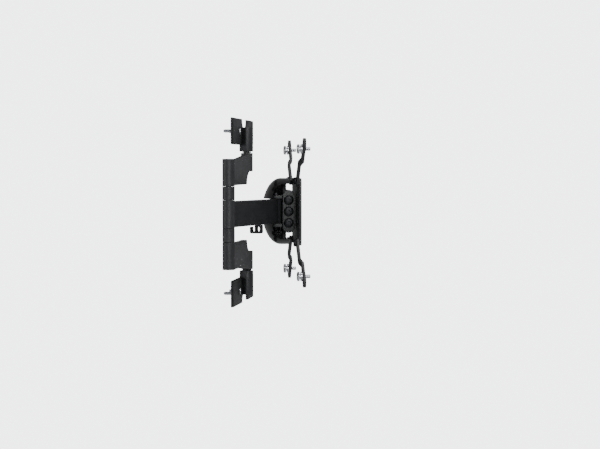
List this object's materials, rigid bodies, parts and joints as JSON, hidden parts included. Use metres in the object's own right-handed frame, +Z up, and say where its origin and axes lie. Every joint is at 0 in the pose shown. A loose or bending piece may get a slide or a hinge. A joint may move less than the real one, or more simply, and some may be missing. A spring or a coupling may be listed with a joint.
{
  "type": "full motion tv wall mount",
  "caption": "Folding wall mount with wall brackets, a two-link arm on a tall elbow column, a domed swivel and tilt head, a square plate and splayed arms for a flat screen.",
  "frame": {"origin": "on the wall plane, midway between the upper and the lower wall bracket and in line with the wall hinge", "axes": "+Y into the wall, so the mount stands out towards -Y; +X along the wall to the right as seen from the room; +Z up"},
  "size_m": [0.318, 0.1399, 0.3],
  "materials": {
    "powder_coated_metal": "matte black powder coat",
    "gloss_plastic": "gloss black",
    "matte_plastic": "satin black",
    "black_steel": "black zinc",
    "zinc_plated_steel": "zinc plated",
    "nylon": "natural"
  },
  "bodies": {
    "wall_side": {"upper_wall_bracket": "powder_coated_metal", "lower_wall_bracket": "powder_coated_metal", "upper_hinge_pin": "zinc_plated_steel", "lower_hinge_pin": "zinc_plated_steel", "upper_near_cover": "matte_plastic", "upper_far_cover": "matte_plastic", "lower_near_cover": "matte_plastic", "lower_far_cover": "matte_plastic", "upper_near_inner_wall_screw": "zinc_plated_steel", "upper_far_inner_wall_screw": "zinc_plated_steel", "lower_near_inner_wall_screw": "zinc_plated_steel", "lower_far_inner_wall_screw": "zinc_plated_steel", "upper_near_outer_wall_screw": "zinc_plated_steel", "upper_far_outer_wall_screw": "zinc_plated_steel", "lower_near_outer_wall_screw": "zinc_plated_steel", "lower_far_outer_wall_screw": "zinc_plated_steel"},
    "inner_links": {"upper_link": "powder_coated_metal", "lower_link": "powder_coated_metal", "upper_hinge_washer": "matte_plastic", "lower_hinge_washer": "matte_plastic", "upper_hinge_bushing": "nylon", "lower_hinge_bushing": "nylon", "upper_column_spacer": "powder_coated_metal", "lower_column_spacer": "powder_coated_metal", "upper_column_cap": "matte_plastic", "lower_column_cap": "matte_plastic", "elbow_bolt": "zinc_plated_steel", "elbow_nut": "zinc_plated_steel"},
    "middle_arm": {"middle_arm": "powder_coated_metal", "cable_clip": "matte_plastic", "upper_elbow_bushing": "nylon", "lower_elbow_bushing": "nylon", "upper_swivel_bushing": "nylon", "lower_swivel_bushing": "nylon"},
    "swivel_head": {"swivel_yoke": "powder_coated_metal", "swivel_bolt": "black_steel", "swivel_nut": "black_steel", "dome_cover": "gloss_plastic", "upper_tilt_bolt": "black_steel", "middle_tilt_bolt": "black_steel", "lower_tilt_bolt": "black_steel", "upper_tilt_nut": "black_steel", "middle_tilt_nut": "black_steel", "lower_tilt_nut": "black_steel"},
    "tilting_plate": {"tilt_bracket": "powder_coated_metal", "television_plate": "powder_coated_metal", "upper_near_clamp_screw": "black_steel", "upper_far_clamp_screw": "black_steel", "lower_near_clamp_screw": "black_steel", "lower_far_clamp_screw": "black_steel"},
    "upper_near_tv_arm": {"upper_near_tv_arm": "powder_coated_metal", "upper_near_tv_screw": "zinc_plated_steel"},
    "upper_far_tv_arm": {"upper_far_tv_arm": "powder_coated_metal", "upper_far_tv_screw": "zinc_plated_steel"},
    "lower_near_tv_arm": {"lower_near_tv_arm": "powder_coated_metal", "lower_near_tv_screw": "zinc_plated_steel"},
    "lower_far_tv_arm": {"lower_far_tv_arm": "powder_coated_metal", "lower_far_tv_screw": "zinc_plated_steel"}
  },
  "joints": [
    {"name": "wall_hinge", "type": "hinge", "parent": "wall_side", "child": "inner_links", "pos_m": [0, -0.012, 0], "axis": [0, 0, 1], "range_deg": [0, 170]},
    {"name": "elbow", "type": "hinge", "parent": "inner_links", "child": "middle_arm", "pos_m": [-0.18, -0.012, 0], "axis": [0, 0, 1], "range_deg": [-150, 0]},
    {"name": "swivel", "type": "hinge", "parent": "middle_arm", "child": "swivel_head", "pos_m": [0.0063, -0.05845, 0], "axis": [0, 0, 1], "range_deg": [-16, 16]},
    {"name": "tilt", "type": "hinge", "parent": "swivel_head", "child": "tilting_plate", "pos_m": [0.01083, -0.07731, 0], "axis": [0.9724, 0.2334, 0], "range_deg": [-12, 12]},
    {"name": "upper_near_arm_pivot", "type": "hinge", "parent": "tilting_plate", "child": "upper_near_tv_arm", "pos_m": [-0.03378, -0.10571, 0.05], "axis": [0.2334, -0.9724, 0], "range_deg": [-45, 45]},
    {"name": "upper_far_arm_pivot", "type": "hinge", "parent": "tilting_plate", "child": "upper_far_tv_arm", "pos_m": [0.06346, -0.08236, 0.05], "axis": [0.2334, -0.9724, 0], "range_deg": [-45, 45]},
    {"name": "lower_near_arm_pivot", "type": "hinge", "parent": "tilting_plate", "child": "lower_near_tv_arm", "pos_m": [-0.03378, -0.10571, -0.05], "axis": [0.2334, -0.9724, 0], "range_deg": [-45, 45]},
    {"name": "lower_far_arm_pivot", "type": "hinge", "parent": "tilting_plate", "child": "lower_far_tv_arm", "pos_m": [0.06346, -0.08236, -0.05], "axis": [0.2334, -0.9724, 0], "range_deg": [-45, 45]}
  ]
}
